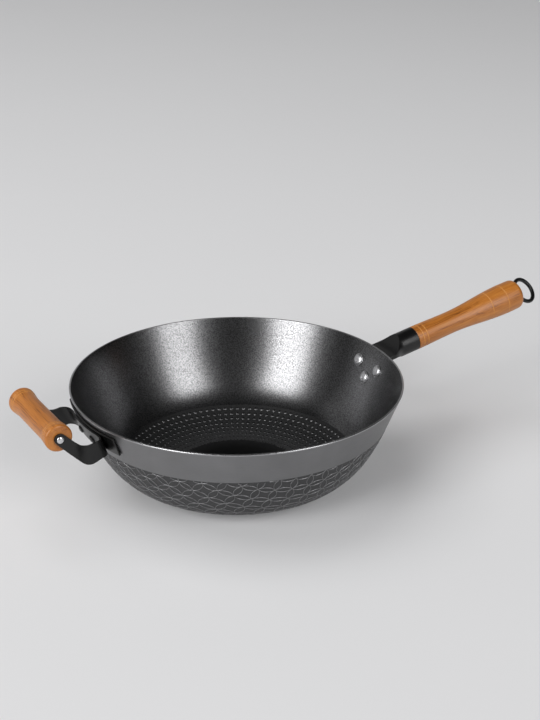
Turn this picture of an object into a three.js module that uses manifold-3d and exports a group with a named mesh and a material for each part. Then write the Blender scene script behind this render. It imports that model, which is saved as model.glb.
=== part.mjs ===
// Two-handled wok: a pressed steel bowl with a long wooden handle and a wooden helper handle.
// Millimetres, +Z up. The origin is the centre of the flat base, on the surface that the wok stands on.
// +X runs along the long handle, and the helper handle lies on the -X side.

import * as THREE from 'three';
import { mergeVertices } from 'three/addons/utils/BufferGeometryUtils.js';
import Module from 'manifold-3d';

const wasm = await Module();
wasm.setup();

// Clearances
const seatGap = 0.3;
const wallGap = 0.4;

// Bowl
const rimDiameter = 320;
const bowlHeight = 97;
const baseDiameter = 134;
const bowlWall = 2;
const rimWallAngle = THREE.MathUtils.degToRad(66.8);
const floorEase = 62.5;
const wallEase = 53;
const wallSteps = 11;
const lipSteps = 4;
const bowlSides = 72;

// Rivets
const rivetHeadDiameter = 12.5;
const rivetHeadHeight = 2.8;
const rivetShankDiameter = 5;
const rivetTailDiameter = 8;
const rivetTailHeight = 1.8;

// Long handle: the joint, where the wood meets the socket, is placed from the rim's edge
const jointStandoff = 45;
const jointRise = 1.5;
const handleTilt = THREE.MathUtils.degToRad(11.1);
const socketDiameter = 24.4;
const tongueThickness = 4;
const tongueBendWidth = 37;
const tongueWallWidth = 52;
const tongueTipWidth = 30;
const tongueDrop = 43;
const tongueBendRadius = 8;
const roundLength = 19;
const flattenLength = 17;
const handleRivetRowDrop = 19;
const handleRivetTipDrop = 32;
const handleRivetSpacing = 34;

// Wooden long grip
const gripLength = 132.5;
const neckDiameter = 22.8;
const neckPlace = 44;
const bellyDiameter = 31.4;
const bellyPlace = 115;
const gripEndDiameter = 30.4;
const gripEndRound = 6;
const tenonDiameter = 20;
const tenonLength = 15.5;
const grooveDepth = 0.5;
const grooveWidth = 1.2;
const gripGrooves = [6, 11, 92, 111.5];

// Tie rod, its nut, and the ring in its eye
const rodDiameter = 5;
const nutDiameter = 9.4;
const nutLength = 4.4;
const eyeWire = 2.4;
const eyeDiameter = 10;
const eyeOut = 0.2;
const eyeRoll = THREE.MathUtils.degToRad(42);
const recessDiameter = 18;
const recessDepth = 5;
const ringDiameter = 30;
const ringWire = 4.2;
const ringSwing = THREE.MathUtils.degToRad(23);

// Helper handle: plate and strap on the wall, grip between the strap's tabs, standoffs from the rim's edge
const plateHalfAngle = THREE.MathUtils.degToRad(18.2);
const plateTopDrop = 4.7;
const plateHeight = 20.5;
const plateThickness = 2;
const strapThickness = 2;
const strapWidth = 19;
const strapTopDrop = 7;
const foldStartAngle = THREE.MathUtils.degToRad(8);
const foldAngle = THREE.MathUtils.degToRad(14.5);
const foldLength = 10;
const armTopStandoff = 16;
const armTopRise = 6;
const armLowStandoff = 13.5;
const armLowDrop = 13.6;
const armRound = 9;
const armInset = 5;
const tabWidth = 10.5;
const helperRivetAngle = THREE.MathUtils.degToRad(4.5);
const helperRivetDrop = 19.3;
const helperStandoff = 40.8;
const helperRise = 6.2;
const helperLength = 92;
const helperEndDiameter = 26;
const helperWaistDiameter = 23.2;
const helperWaistLength = 52;
const helperEndRound = 2.5;
const helperGrooves = [7, 10];
const tabGap = 0.4;
const boltDiameter = 4;
const boltHeadDiameter = 7;
const boltHeadHeight = 1.8;
const capNutDiameter = 8;
const capNutHeight = 5;
const boltTipLength = 3.4;

// Materials
const darkSteel = new THREE.MeshStandardMaterial({ color: 0x55565a, roughness: 0.45, metalness: 0.9 });
const blackSteel = new THREE.MeshStandardMaterial({ color: 0x1d1d1f, roughness: 0.45, metalness: 0.4 });
const brightSteel = new THREE.MeshStandardMaterial({ color: 0xd4d5d8, roughness: 0.2, metalness: 1 });
const lacqueredWood = new THREE.MeshStandardMaterial({ color: 0xa36d41, roughness: 0.4, metalness: 0 });

// Closed solids

// Merges shared corners, drops triangles without area and turns the faces outward.
function closed(geometry) {
  geometry.deleteAttribute('normal');
  geometry.deleteAttribute('uv');
  const merged = mergeVertices(geometry, 1e-4);
  const place = merged.getAttribute('position');
  const triangles = [];
  const [a, b, c] = [new THREE.Vector3(), new THREE.Vector3(), new THREE.Vector3()];
  let volume = 0;
  for (let i = 0; i < merged.index.count; i += 3) {
    const triangle = [merged.index.getX(i), merged.index.getX(i + 1), merged.index.getX(i + 2)];
    if (new Set(triangle).size < 3) continue;
    triangles.push(triangle);
    a.fromBufferAttribute(place, triangle[0]);
    b.fromBufferAttribute(place, triangle[1]);
    c.fromBufferAttribute(place, triangle[2]);
    volume += a.dot(b.cross(c));
  }
  if (volume < 0) triangles.forEach((triangle) => triangle.reverse());
  merged.setIndex(triangles.flat());
  merged.computeVertexNormals();
  return merged;
}

function toSolid(geometry) {
  return new wasm.Manifold(new wasm.Mesh({
    numProp: 3,
    vertProperties: new Float32Array(geometry.getAttribute('position').array),
    triVerts: new Uint32Array(geometry.index.array),
  }));
}

function fromSolid(solid) {
  const mesh = solid.getMesh();
  const geometry = new THREE.BufferGeometry();
  geometry.setAttribute('position', new THREE.BufferAttribute(mesh.vertProperties, mesh.numProp));
  geometry.setIndex(new THREE.BufferAttribute(mesh.triVerts, 1));
  return closed(geometry);
}

function cut(body, tools) {
  return fromSolid(tools.reduce((solid, tool) => solid.subtract(toSolid(tool)), toSolid(body)));
}

function join(body, others) {
  return fromSolid(others.reduce((solid, other) => solid.add(toSolid(other)), toSolid(body)));
}

// Turns a profile of [radius, height] points about Z.
function turned(profile, sides) {
  const points = profile.map(([radius, height]) => new THREE.Vector2(radius, height));
  return closed(new THREE.LatheGeometry(points, sides).rotateX(Math.PI / 2));
}

// Skins a row of rings, each with the same number of corners, and closes both ends.
function loft(rings) {
  const count = rings[0].length;
  const corners = rings.flat();
  const triangles = [];
  for (let i = 0; i + 1 < rings.length; i += 1) {
    for (let j = 0; j < count; j += 1) {
      const next = (j + 1) % count;
      const [p, q] = [i * count + j, i * count + next];
      triangles.push(p, q, q + count, p, q + count, p + count);
    }
  }
  for (const [first, order] of [[0, -1], [(rings.length - 1) * count, 1]]) {
    const middle = new THREE.Vector3();
    for (let j = 0; j < count; j += 1) middle.addScaledVector(corners[first + j], 1 / count);
    corners.push(middle);
    for (let j = 0; j < count; j += 1) {
      const edge = [first + j, first + (j + 1) % count];
      triangles.push(...(order > 0 ? edge : edge.reverse()), corners.length - 1);
    }
  }
  const geometry = new THREE.BufferGeometry().setFromPoints(corners);
  geometry.setIndex(triangles);
  return closed(geometry);
}

function ease(t) {
  return (1 - Math.cos(Math.PI * THREE.MathUtils.clamp(t, 0, 1))) / 2;
}

function mix(from, to, t) {
  return from + (to - from) * t;
}

// Bowl wall

const rimRadius = rimDiameter / 2;
const baseRadius = baseDiameter / 2;
const wallCurve = new THREE.CubicBezierCurve(
  new THREE.Vector2(baseRadius, 0),
  new THREE.Vector2(baseRadius + floorEase, 0),
  new THREE.Vector2(
    rimRadius - wallEase * Math.cos(rimWallAngle),
    bowlHeight - wallEase * Math.sin(rimWallAngle),
  ),
  new THREE.Vector2(rimRadius, bowlHeight),
);

// The wall's outer face at a share of the curve, moved outward by an offset.
function wallPoint(share, offset) {
  const point = wallCurve.getPointAt(share);
  const along = wallCurve.getTangentAt(share);
  return [point.x + along.y * offset, point.y - along.x * offset];
}

// The wall at a distance below the rim, measured along the wall, as a frame in the XZ plane.
function wallFrame(drop, offset) {
  const share = 1 - drop / wallCurve.getLength();
  const along = wallCurve.getTangentAt(share);
  const [radius, height] = wallPoint(share, offset);
  return { radius, height, up: along, out: new THREE.Vector2(along.y, -along.x) };
}

function bowlProfile() {
  const outside = [];
  const inside = [];
  for (let i = 0; i <= wallSteps; i += 1) {
    outside.push(wallPoint(i / wallSteps, 0));
    inside.unshift(wallPoint(i / wallSteps, -bowlWall));
  }
  const rim = wallFrame(0, -bowlWall / 2);
  const lip = [];
  for (let i = 1; i < lipSteps; i += 1) {
    const angle = (i / lipSteps) * Math.PI;
    const across = Math.cos(angle) * bowlWall / 2;
    const above = Math.sin(angle) * bowlWall / 2;
    lip.push([
      rim.radius + across * rim.out.x + above * rim.up.x,
      rim.height + across * rim.out.y + above * rim.up.y,
    ]);
  }
  return [[0, 0], ...outside, ...lip, ...inside, [0, bowlWall]];
}

// A frame on the wall: Z points outward, square to the wall, at an angle about the bowl's axis.
function wallMatrix(angle, drop, offset) {
  const frame = wallFrame(drop, offset);
  const across = new THREE.Vector3(0, 1, 0);
  const out = new THREE.Vector3(frame.out.x, 0, frame.out.y);
  const up = new THREE.Vector3().crossVectors(out, across);
  const matrix = new THREE.Matrix4().makeBasis(up, across, out);
  matrix.setPosition(frame.radius, 0, frame.height);
  return new THREE.Matrix4().makeRotationZ(angle).multiply(matrix);
}

// Rivets: a dome inside the bowl, a shank through the sheets and a smaller dome outside.

function dome(radius, height, steps) {
  const points = [];
  for (let i = 0; i <= steps; i += 1) {
    const angle = (i / steps) * Math.PI / 2;
    points.push([radius * Math.cos(angle), height * Math.sin(angle)]);
  }
  points[steps][0] = 0;
  return points;
}

function rivetGeometry(stack) {
  const under = -bowlWall - seatGap;
  const over = stack + seatGap;
  const head = dome(rivetHeadDiameter / 2, rivetHeadHeight, 5).map(([r, h]) => [r, under - h]).reverse();
  const tail = dome(rivetTailDiameter / 2, rivetTailHeight, 3).map(([r, h]) => [r, over + h]);
  const shank = rivetShankDiameter / 2;
  return turned([...head, [shank, under], [shank, over], ...tail], 14);
}

function rivetHole(matrix) {
  const length = 60;
  const hole = new THREE.CylinderGeometry(
    rivetShankDiameter / 2 + seatGap, rivetShankDiameter / 2 + seatGap, length, 14,
  );
  return closed(hole.rotateX(Math.PI / 2).applyMatrix4(matrix));
}

const tongueStack = wallGap + tongueThickness;
const strapStack = wallGap + plateThickness + seatGap + strapThickness;
const rowAngle = Math.asin(handleRivetSpacing / 2 / wallFrame(handleRivetRowDrop, 0).radius);
const handleRivets = [
  [rowAngle, handleRivetRowDrop], [-rowAngle, handleRivetRowDrop], [0, handleRivetTipDrop],
].map(([angle, drop]) => wallMatrix(angle, drop, 0));
const helperRivets = [helperRivetAngle, -helperRivetAngle]
  .map((angle) => wallMatrix(Math.PI + angle, helperRivetDrop, 0));

function wokBowl() {
  const bowl = turned(bowlProfile(), bowlSides);
  return cut(bowl, [...handleRivets, ...helperRivets].map(rivetHole));
}

// Handle socket: a round tube that is pressed flat towards the bowl and bent down its wall.

const handleAxis = new THREE.Vector3(Math.cos(handleTilt), 0, Math.sin(handleTilt));
const handleJoint = new THREE.Vector3(rimRadius + jointStandoff, 0, bowlHeight + jointRise);

function axisPoint(distance) {
  return handleJoint.clone().addScaledVector(handleAxis, distance);
}

// Where the tongue's middle line on the wall meets the handle's axis, found by halving.
function tongueCorner() {
  const above = (drop) => {
    const frame = wallFrame(drop, wallGap + tongueThickness / 2);
    return frame.height - handleJoint.z - (frame.radius - handleJoint.x) * Math.tan(handleTilt);
  };
  let [low, high] = [0, tongueDrop];
  for (let i = 0; i < 40; i += 1) {
    const middle = (low + high) / 2;
    if (above(middle) > 0) low = middle;
    else high = middle;
  }
  return low;
}

// One section: a flattened oval whose across direction is Y, bowed to follow the round wall.
function ovalRing(centre, out, halfWidth, halfThickness, squareness, bow) {
  const ring = [];
  const corners = 20;
  for (let i = 0; i < corners; i += 1) {
    const angle = (i / corners) * 2 * Math.PI;
    const [c, s] = [Math.cos(angle), Math.sin(angle)];
    const across = halfWidth * Math.sign(c) * Math.abs(c) ** (2 / squareness);
    const deep = halfThickness * Math.sign(s) * Math.abs(s) ** (2 / squareness);
    const point = centre.clone().addScaledVector(out, deep);
    point.y += across;
    point.x -= bow * across * across / 2;
    ring.push(point);
  }
  return ring;
}

function handleSocket() {
  const corner = tongueCorner();
  const cornerFrame = wallFrame(corner, 0);
  const turn = Math.atan2(cornerFrame.up.y, cornerFrame.up.x) - handleTilt;
  const bendBack = tongueBendRadius * Math.tan(turn / 2);
  const wallEnd = corner + bendBack;
  const rings = [];
  const flat = 5;
  const half = tongueThickness / 2;
  const wallRings = 8;
  for (let i = 0; i <= wallRings; i += 1) {
    const drop = mix(tongueDrop, wallEnd, i / wallRings);
    const frame = wallFrame(drop, wallGap + half);
    const flare = ease((tongueDrop - drop) / (tongueDrop - handleRivetTipDrop));
    const narrow = ease((handleRivetRowDrop - drop) / (handleRivetRowDrop - wallEnd));
    const width = mix(mix(tongueTipWidth, tongueWallWidth, flare), tongueBendWidth, narrow);
    const centre = new THREE.Vector3(frame.radius, 0, frame.height);
    const out = new THREE.Vector3(frame.out.x, 0, frame.out.y);
    rings.push(ovalRing(centre, out, width / 2, half, flat, 1 / frame.radius));
  }
  const start = wallFrame(wallEnd, wallGap + half);
  const pivot = new THREE.Vector2(start.radius, start.height).addScaledVector(start.out, tongueBendRadius);
  const startAngle = Math.atan2(-start.out.y, -start.out.x);
  const endAngle = handleTilt + Math.PI / 2;
  const bendRings = 5;
  for (let i = 1; i <= bendRings; i += 1) {
    const angle = mix(startAngle, endAngle, i / bendRings);
    const inward = new THREE.Vector3(Math.cos(angle), 0, Math.sin(angle));
    const centre = new THREE.Vector3(pivot.x, 0, pivot.y).addScaledVector(inward, tongueBendRadius);
    const bow = mix(1 / start.radius, 0, ease(i / bendRings));
    rings.push(ovalRing(centre, inward.negate(), tongueBendWidth / 2, half, flat, bow));
  }
  const below = new THREE.Vector3(handleAxis.z, 0, -handleAxis.x);
  const flattenRings = 7;
  for (let i = 0; i <= flattenRings; i += 1) {
    const share = i / flattenRings;
    const centre = axisPoint(-roundLength - flattenLength * (1 - share));
    const round = ease(share);
    const halfWidth = mix(tongueBendWidth, socketDiameter, round) / 2;
    const halfThickness = mix(tongueThickness, socketDiameter, round) / 2;
    rings.push(ovalRing(centre, below, halfWidth, halfThickness, mix(flat, 2, round), 0));
  }
  rings.push(ovalRing(handleJoint, below, socketDiameter / 2, socketDiameter / 2, 2, 0));
  const bore = tenonDiameter / 2 + seatGap;
  const pocket = nutDiameter / 2 + seatGap;
  const boreDepth = tenonLength + seatGap;
  const pocketDepth = boreDepth + nutLength + seatGap;
  const room = 5;
  const hollow = turned([[0, -pocketDepth], [pocket, -pocketDepth], [pocket, -boreDepth],
    [bore, -boreDepth], [bore, room], [0, room]], 32).applyMatrix4(handleMatrix);
  return cut(loft(rings), [hollow, ...handleRivets.map(rivetHole)]);
}

// Long handle in its own frame: Z along the axis, out of the joint, with X pointing down.

const handleFrame = new THREE.Group();
handleFrame.position.copy(handleJoint);
handleFrame.rotation.y = Math.PI / 2 - handleTilt;
handleFrame.updateMatrix();
const handleMatrix = handleFrame.matrix.clone();

// The grip's radius at a distance from the joint, before grooves and end rounding.
function gripRadius(distance) {
  if (distance < neckPlace) return mix(socketDiameter, neckDiameter, ease(distance / neckPlace)) / 2;
  if (distance < bellyPlace) {
    return mix(neckDiameter, bellyDiameter, ease((distance - neckPlace) / (bellyPlace - neckPlace))) / 2;
  }
  const past = (distance - bellyPlace) / (gripLength - bellyPlace);
  return mix(bellyDiameter, gripEndDiameter, past * past) / 2;
}

function grooved(distance, radius) {
  return [
    [radius(distance - grooveWidth / 2), distance - grooveWidth / 2],
    [radius(distance) - grooveDepth, distance],
    [radius(distance + grooveWidth / 2), distance + grooveWidth / 2],
  ];
}

// A quarter round from a side into an end face, given the end's place and the way it faces.
function edgeRound(radius, round, end, facing) {
  const points = [];
  const steps = 4;
  for (let i = 0; i <= steps; i += 1) {
    const angle = (i / steps) * Math.PI / 2;
    points.push([
      radius - round * (1 - Math.cos(angle)),
      end - facing * round * (1 - Math.sin(angle)),
    ]);
  }
  return points;
}

function handleGrip() {
  const bore = rodDiameter / 2 + seatGap;
  const recess = recessDiameter / 2;
  const recessFloor = gripLength - recessDepth;
  const shoulder = seatGap;
  const side = [[gripRadius(shoulder), shoulder]];
  const stops = 12;
  for (let i = 1; i < stops; i += 1) {
    const distance = mix(shoulder, gripLength - gripEndRound, i / stops);
    if (gripGrooves.every((groove) => Math.abs(groove - distance) > grooveWidth)) {
      side.push([gripRadius(distance), distance]);
    }
  }
  for (const groove of gripGrooves) side.push(...grooved(groove, gripRadius));
  side.sort((a, b) => a[1] - b[1]);
  const end = edgeRound(gripRadius(gripLength - gripEndRound), gripEndRound, gripLength, 1);
  const profile = [[bore, -tenonLength], [tenonDiameter / 2, -tenonLength], [tenonDiameter / 2, shoulder],
    ...side, ...end, [recess, gripLength], [recess, recessFloor], [bore, recessFloor],
    [bore, -tenonLength]];
  return turned(profile, 24);
}

const eyePlace = gripLength + eyeOut;

// The rod runs from the nut's pocket to the back of the eye.
function tieRod() {
  const start = -tenonLength - nutLength - seatGap;
  const eyeRadius = (eyeDiameter - eyeWire) / 2;
  const end = eyePlace - eyeRadius;
  const rod = new THREE.CylinderGeometry(rodDiameter / 2, rodDiameter / 2, end - start, 16);
  rod.rotateX(Math.PI / 2).translate(0, 0, (start + end) / 2);
  const eye = new THREE.TorusGeometry(eyeRadius, eyeWire / 2, 10, 20).rotateY(Math.PI / 2);
  eye.rotateZ(-eyeRoll).translate(0, 0, eyePlace);
  return join(closed(rod), [closed(eye)]);
}

function tieNut() {
  const bore = rodDiameter / 2 + seatGap;
  const start = -tenonLength - seatGap - nutLength;
  const end = start + nutLength;
  const outer = nutDiameter / 2;
  return turned([[bore, start], [outer, start], [outer, end], [bore, end], [bore, start]], 24);
}

function hangingRing() {
  const radius = (ringDiameter - ringWire) / 2;
  const ring = new THREE.TorusGeometry(radius, ringWire / 2, 8, 28).rotateX(Math.PI / 2);
  ring.translate(0, 0, radius).rotateX(-ringSwing).rotateZ(-eyeRoll);
  return closed(ring.translate(0, 0, eyePlace));
}

// Helper plate: a sheet that follows the wall under the rim.

function helperPlate() {
  const rings = [];
  const stations = 16;
  const levels = 4;
  for (let i = 0; i <= stations; i += 1) {
    const angle = Math.PI + mix(-plateHalfAngle, plateHalfAngle, i / stations);
    const face = (offset) => Array.from({ length: levels + 1 }, (_, k) => {
      const frame = wallFrame(plateTopDrop + plateHeight * k / levels, offset);
      return new THREE.Vector3(frame.radius * Math.cos(angle), frame.radius * Math.sin(angle), frame.height);
    });
    rings.push([...face(wallGap + plateThickness), ...face(wallGap).reverse()]);
  }
  return cut(loft(rings), helperRivets.map(rivetHole));
}

// Helper strap: lies on the plate, folds out at both ends and rises to a rounded tab at each grip end.

const helperReach = rimRadius + helperStandoff;
const helperHeight = bowlHeight + helperRise;
const tabPlace = helperLength / 2 + tabGap + strapThickness / 2;

// One edge of an arm: two straight stretches with a rounded corner, as evenly spread points.
function armEdge(start, corner, end, steps) {
  const before = corner.clone().add(start.clone().sub(corner).setLength(armRound));
  const after = corner.clone().add(end.clone().sub(corner).setLength(armRound));
  const edge = new THREE.CurvePath();
  edge.add(new THREE.LineCurve3(start, before));
  edge.add(new THREE.QuadraticBezierCurve3(before, corner, after));
  edge.add(new THREE.LineCurve3(after, end));
  return edge.getSpacedPoints(steps);
}

// One half of the strap's middle line, as stations from the bowl's XZ plane out to the tab's tip.
function strapStations() {
  const base = wallFrame(strapTopDrop + strapWidth / 2, strapStack - strapThickness / 2);
  const generator = (angle) => new THREE.Vector3(
    Math.cos(angle) * base.up.x, Math.sin(angle) * base.up.x, base.up.y,
  );
  const onWall = (angle) => new THREE.Vector3(
    base.radius * Math.cos(angle), base.radius * Math.sin(angle), base.height,
  );
  const fold = onWall(Math.PI + foldAngle);
  const armPlace = tabPlace - armInset;
  const tab = new THREE.Vector3(-helperReach, -armPlace, helperHeight);
  const topCorner = new THREE.Vector3(-rimRadius - armTopStandoff, -armPlace, base.height + armTopRise);
  const lowCorner = new THREE.Vector3(-rimRadius - armLowStandoff, -armPlace, base.height - armLowDrop);
  const corner = topCorner.clone().lerp(lowCorner, 0.5);
  const outward = corner.clone().setZ(base.height).sub(fold).normalize();
  const rise = new THREE.Vector3(-1, 0, 1).normalize();
  const tabUp = new THREE.Vector3(1, 0, 1).normalize();
  const stations = [];
  const baseSteps = 5;
  for (let i = 0; i <= baseSteps; i += 1) {
    const angle = Math.PI + foldStartAngle * i / baseSteps;
    stations.push({ centre: onWall(angle), up: generator(angle), width: strapWidth });
  }
  const foldUp = generator(Math.PI + foldAngle);
  const foldStart = stations.at(-1).centre;
  const foldEnd = fold.clone().addScaledVector(outward, foldLength);
  const foldCurve = new THREE.QuadraticBezierCurve3(foldStart, fold, foldEnd);
  const foldSteps = 6;
  for (let i = 1; i <= foldSteps; i += 1) {
    stations.push({ centre: foldCurve.getPoint(i / foldSteps), up: foldUp, width: strapWidth });
  }
  const armSteps = 14;
  const edgePoint = (centre, up, width) => centre.clone().addScaledVector(up, width / 2);
  const foldTop = edgePoint(foldEnd, foldUp, strapWidth);
  const foldLow = edgePoint(foldEnd, foldUp, -strapWidth);
  const top = armEdge(foldTop, topCorner, edgePoint(tab, tabUp, tabWidth), armSteps);
  const low = armEdge(foldLow, lowCorner, edgePoint(tab, tabUp, -tabWidth), armSteps);
  for (let i = 1; i <= armSteps; i += 1) {
    stations.push({
      centre: top[i].clone().lerp(low[i], 0.5),
      up: top[i].clone().sub(low[i]).normalize(),
      width: top[i].distanceTo(low[i]),
    });
  }
  const tipSteps = 5;
  for (let i = 1; i <= tipSteps; i += 1) {
    const angle = (i / tipSteps) * THREE.MathUtils.degToRad(80);
    stations.push({
      centre: tab.clone().addScaledVector(rise, Math.sin(angle) * tabWidth / 2),
      up: tabUp,
      width: tabWidth * Math.cos(angle),
    });
  }
  for (const { centre } of stations.slice(-armSteps - tipSteps)) {
    const clear = helperEndDiameter / 2 + tabGap;
    const share = (centre.distanceTo(tab) - clear) / (corner.distanceTo(tab) - clear);
    centre.y -= armInset * (1 - ease(share));
  }
  return stations;
}

function strapRing(stations, i) {
  const { centre, up, width } = stations[i];
  const before = stations[Math.max(i - 1, 0)].centre;
  const after = stations[Math.min(i + 1, stations.length - 1)].centre;
  const along = after.clone().sub(before).normalize();
  const normal = new THREE.Vector3().crossVectors(along, up).normalize();
  return [[1, 1], [-1, 1], [-1, -1], [1, -1]].map(([side, level]) => centre.clone()
    .addScaledVector(normal, side * strapThickness / 2)
    .addScaledVector(up, level * width / 2));
}

function helperStrap() {
  const near = strapStations();
  const far = near.slice(1).map(({ centre, up, width }) => ({
    centre: centre.clone().setY(-centre.y),
    up: up.clone().setY(-up.y),
    width,
  }));
  const all = [...far.reverse(), ...near];
  const boltHole = new THREE.CylinderGeometry(
    boltDiameter / 2 + seatGap, boltDiameter / 2 + seatGap, helperLength * 2, 16,
  );
  boltHole.translate(-helperReach, 0, helperHeight);
  return cut(loft(all.map((_, i) => strapRing(all, i))), [closed(boltHole), ...helperRivets.map(rivetHole)]);
}

// Helper grip and its bolt, in a frame whose Z runs along the grip.

function helperRadius(distance) {
  const past = Math.abs(distance) - helperWaistLength / 2;
  const flare = (helperLength - helperWaistLength) / 2;
  return mix(helperWaistDiameter, helperEndDiameter, ease(past / flare)) / 2;
}

function helperGrip() {
  const bore = boltDiameter / 2 + seatGap;
  const half = helperLength / 2;
  const side = [];
  const stops = 10;
  const straight = half - helperEndRound;
  const grooves = helperGrooves.flatMap((inset) => [half - inset, inset - half]);
  for (let i = 1; i < stops; i += 1) {
    const distance = mix(-straight, straight, i / stops);
    if (grooves.every((groove) => Math.abs(groove - distance) > grooveWidth)) {
      side.push([helperRadius(distance), distance]);
    }
  }
  for (const groove of grooves) side.push(...grooved(groove, helperRadius));
  side.sort((a, b) => a[1] - b[1]);
  const low = edgeRound(helperRadius(straight), helperEndRound, -half, -1).reverse();
  const high = edgeRound(helperRadius(straight), helperEndRound, half, 1);
  return turned([[bore, -half], ...low, ...side, ...high, [bore, half], [bore, -half]], 22);
}

const clampPlace = tabPlace + strapThickness / 2 + seatGap;

function helperBolt() {
  const head = dome(boltHeadDiameter / 2, boltHeadHeight, 4).map(([r, h]) => [r, -clampPlace - h]).reverse();
  const shank = boltDiameter / 2;
  const tip = clampPlace + boltTipLength;
  return turned([...head, [shank, -clampPlace], [shank, tip], [0, tip]], 20);
}

function helperCapNut() {
  const bore = boltDiameter / 2 + seatGap;
  const top = dome(capNutDiameter / 2, capNutHeight, 4).map(([r, h]) => [r, clampPlace + h]);
  const depth = clampPlace + boltTipLength + seatGap;
  return turned([[0, depth], [bore, depth], [bore, clampPlace], ...top], 20);
}

// Assembly

function piece(name, geometry, material) {
  const mesh = new THREE.Mesh(geometry, material);
  mesh.name = name;
  return mesh;
}

function rivet(name, matrix, stack) {
  const mesh = piece(name, rivetGeometry(stack), brightSteel);
  matrix.decompose(mesh.position, mesh.quaternion, mesh.scale);
  return mesh;
}

handleFrame.add(
  piece('handle_grip', handleGrip(), lacqueredWood),
  piece('tie_rod', tieRod(), blackSteel),
  piece('tie_nut', tieNut(), brightSteel),
  piece('hanging_ring', hangingRing(), blackSteel),
);

const helperFrame = new THREE.Group();
helperFrame.position.set(-helperReach, 0, helperHeight);
helperFrame.rotation.x = -Math.PI / 2;
helperFrame.add(
  piece('helper_grip', helperGrip(), lacqueredWood),
  piece('helper_bolt', helperBolt(), brightSteel),
  piece('helper_cap_nut', helperCapNut(), brightSteel),
);

const wok = new THREE.Group();
wok.add(
  piece('wok_bowl', wokBowl(), darkSteel),
  piece('handle_socket', handleSocket(), blackSteel),
  ...handleRivets.map((matrix, i) => rivet(`handle_rivet_${i + 1}`, matrix, tongueStack)),
  piece('helper_plate', helperPlate(), blackSteel),
  piece('helper_strap', helperStrap(), blackSteel),
  ...helperRivets.map((matrix, i) => rivet(`helper_rivet_${i + 1}`, matrix, strapStack)),
  handleFrame,
  helperFrame,
);

export default wok;
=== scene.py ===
"""Looks of a two-handled wok: smooth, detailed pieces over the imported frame. Metres, +Z up."""
import math

import bmesh
import bpy
import numpy as np
from mathutils import Matrix, Vector


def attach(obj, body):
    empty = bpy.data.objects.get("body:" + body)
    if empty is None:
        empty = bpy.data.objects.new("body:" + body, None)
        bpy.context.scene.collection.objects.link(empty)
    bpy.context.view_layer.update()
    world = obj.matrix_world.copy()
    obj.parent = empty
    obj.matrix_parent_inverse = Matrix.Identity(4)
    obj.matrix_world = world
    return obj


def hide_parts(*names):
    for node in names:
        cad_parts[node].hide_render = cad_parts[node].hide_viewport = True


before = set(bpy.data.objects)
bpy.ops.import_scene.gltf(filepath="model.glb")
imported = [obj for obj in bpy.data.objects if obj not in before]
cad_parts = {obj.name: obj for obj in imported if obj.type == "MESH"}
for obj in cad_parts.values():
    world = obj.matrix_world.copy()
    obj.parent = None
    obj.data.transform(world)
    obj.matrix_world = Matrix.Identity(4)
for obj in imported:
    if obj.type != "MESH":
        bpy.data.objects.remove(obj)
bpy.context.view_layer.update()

MM = 0.001

# Camera: the photograph's frame, and where the rim's centre lands in it
PHOTO_WIDTH = 540
PHOTO_HEIGHT = 720
FOCAL_PIXELS = 1500
SENSOR = 36
RIM_CENTRE_PIXEL = (236.8, 380.1)
CAMERA_DISTANCE = 1.441
CAMERA_ELEVATION = math.radians(23.53)
CAMERA_AZIMUTH = math.radians(29.5)
CAMERA_ROLL = math.radians(-0.07)

# Floor: its own tone, a painted glow, at places along the view, counted from the bowl's axis. Near the bowl
# a small share of it shows, and beyond a circle about a middle behind the bowl it takes over from the
# lamps' light.
FLOOR_HALF = 60.0
FLOOR_FRONT = -1.0
FLOOR_BACK = 3.0
FLOOR_TONES = [(-0.5, 0.6), (0.0, 0.7), (0.5, 0.8), (1.0, 0.75), (1.9, 0.6), (2.6, 0.5)]
FLOOR_OWN = 0.15
FLOOR_MIDDLE = 0.9
FLOOR_FADE = (1.8, 2.8)

# Lamp panels: turn from the camera's side, elevation, width and height in degrees, then radiance
PANEL_DISTANCE = 5.0
PANELS = {
    "key_panel": (-42, 27, 28, 36, 7.0),
    "fill_panel": (47, 27, 25, 36, 5.0),
    "back_panel": (180, 22, 60, 26, 0.42),
    "side_panel": (-120, 20, 50, 40, 0.34),
    "top_panel": (-110, 65, 45, 45, 2.0),
}
PANELS_WITHOUT_GLOSS = ["top_panel"]
WORLD_GREY = 0.02

# Meshes: sides of turned pieces, angles in degrees up to which an edge is shaded smooth, and edge rounds
GRIP_SIDES = 64
FASTENER_SIDES = 32
CREASE = 35
PRESS_CREASE = 30
RELIEF_CREASE = 80
ON_AXIS = 1e-7
EDGE_BEVEL = 0.6 * MM
BEVEL_SEGMENTS = 3
BEVEL_ANGLE = math.radians(40)
ROUND_START = 6
ROUND_END = 84

# Bowl
RIM_RADIUS = 160 * MM
BOWL_HEIGHT = 97 * MM
BASE_RADIUS = 67 * MM
WALL = 2 * MM
RIM_WALL_ANGLE = math.radians(66.8)
FLOOR_EASE = 62.5 * MM
WALL_EASE = 53 * MM
BAND_WIDTH = 36 * MM
BAND_STEP = 0.2 * MM
PATTERN_START = 72 * MM
FLOOR_DISC = 62 * MM
FLOOR_EDGE = 114.5 * MM
# Height up to which painted shade darkens the lower outside
PAINTED_SHADE_HEIGHT = 32 * MM
BOWL_SIDES = 288
BASE_TO_PATTERN = 1.5 * MM
BAND_TO_LIP = 0.2 * MM
LIP_TO_INSIDE = 1 * MM
BASE_ROWS = 8
GROUND_ROWS = 50
BAND_ROWS = 16
LIP_ROWS = 10
INSIDE_ROWS = 44
FLOOR_ROWS = 24
DISC_ROWS = 12

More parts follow.
